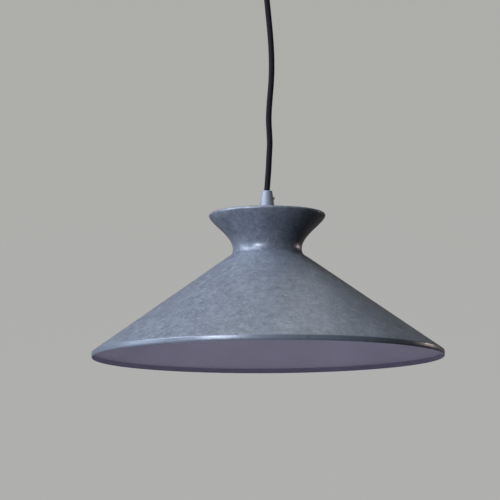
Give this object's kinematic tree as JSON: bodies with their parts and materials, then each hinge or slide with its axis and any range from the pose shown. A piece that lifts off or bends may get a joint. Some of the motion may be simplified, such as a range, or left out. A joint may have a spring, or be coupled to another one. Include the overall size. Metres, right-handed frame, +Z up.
{
  "type": "pendant ceiling light",
  "caption": "Hourglass spun-metal pendant shade with a wide cone and flared crown, hung on a fabric cord from a ceiling cup, with a screw-in bulb inside.",
  "frame": {"origin": "on the ceiling, at the centre of the bracket's top face", "axes": "+Z up out of the ceiling bracket, the cord and shade hang along -Z; +X towards the side that carries the grips' clamp screws"},
  "size_m": [0.4, 0.4, 0.515],
  "materials": {
    "shade_paint": "mottled grey satin paint outside, white inside",
    "grip_metal": "satin nickel",
    "zinc_steel": "zinc plated",
    "nickel": "bright nickel plate",
    "brass": "bright rolled brass",
    "cord_cloth": "black braided textile",
    "holder_plastic": "black moulded",
    "core_ceramic": "white steatite",
    "block_plastic": "white moulded",
    "live_core": "brown insulation",
    "neutral_core": "blue insulation",
    "earth_core": "green and yellow insulation",
    "opal_glass": "opal white",
    "bead_glass": "black glass bead"
  },
  "bodies": {
    "ceiling": {"ceiling_bracket": "zinc_steel", "cup_screw_right": "nickel", "cup_screw_left": "nickel", "terminal_block": "block_plastic", "terminal_screw_live": "brass", "terminal_screw_earth": "brass", "terminal_screw_neutral": "brass", "rose_wire_live": "live_core", "rose_wire_earth": "earth_core", "rose_wire_neutral": "neutral_core"},
    "cup": {"rose_cup": "shade_paint", "rose_nipple": "zinc_steel", "rose_nut": "zinc_steel", "rose_grip": "grip_metal", "rose_grip_screw": "nickel", "cord_upper_end": "cord_cloth"},
    "cord": {"cord": "cord_cloth"},
    "shade": {"shade_cone": "shade_paint", "shade_crown": "shade_paint", "shade_grip": "grip_metal", "shade_grip_screw": "nickel", "nipple": "zinc_steel", "lock_washer": "zinc_steel", "lock_nut": "zinc_steel", "cord_lower_end": "cord_cloth", "holder_cap": "holder_plastic", "holder_skirt": "holder_plastic", "holder_insert": "core_ceramic", "screw_shell": "brass", "centre_contact": "brass", "holder_screw_live": "brass", "holder_screw_neutral": "brass", "holder_screw_earth": "brass", "holder_wire_live": "live_core", "holder_wire_neutral": "neutral_core", "holder_wire_earth": "earth_core"},
    "bulb": {"bulb_glass": "opal_glass", "bulb_cap": "nickel", "bulb_insulator": "bead_glass", "bulb_tip": "nickel"}
  },
  "joints": [
    {"name": "cup_drop", "type": "slide", "parent": "ceiling", "child": "cup", "axis": [0, 0, -1], "range_m": [0, 0.03], "deforming": ["rose_wire_live", "rose_wire_earth", "rose_wire_neutral"]},
    {"name": "turn", "type": "hinge", "parent": "cup", "child": "cord", "pos_m": [0, 0, -0.073], "axis": [0, 0, 1], "range_deg": [-180, 180]},
    {"name": "swing", "type": "hinge", "parent": "cord", "child": "shade", "pos_m": [0, 0, -0.073], "axis": [0, 1, 0], "range_deg": [-40, 40], "deforming": ["cord"]},
    {"name": "bulb_out", "type": "slide", "parent": "shade", "child": "bulb", "axis": [0, 0, -1], "range_m": [0, 0.0254]}
  ]
}
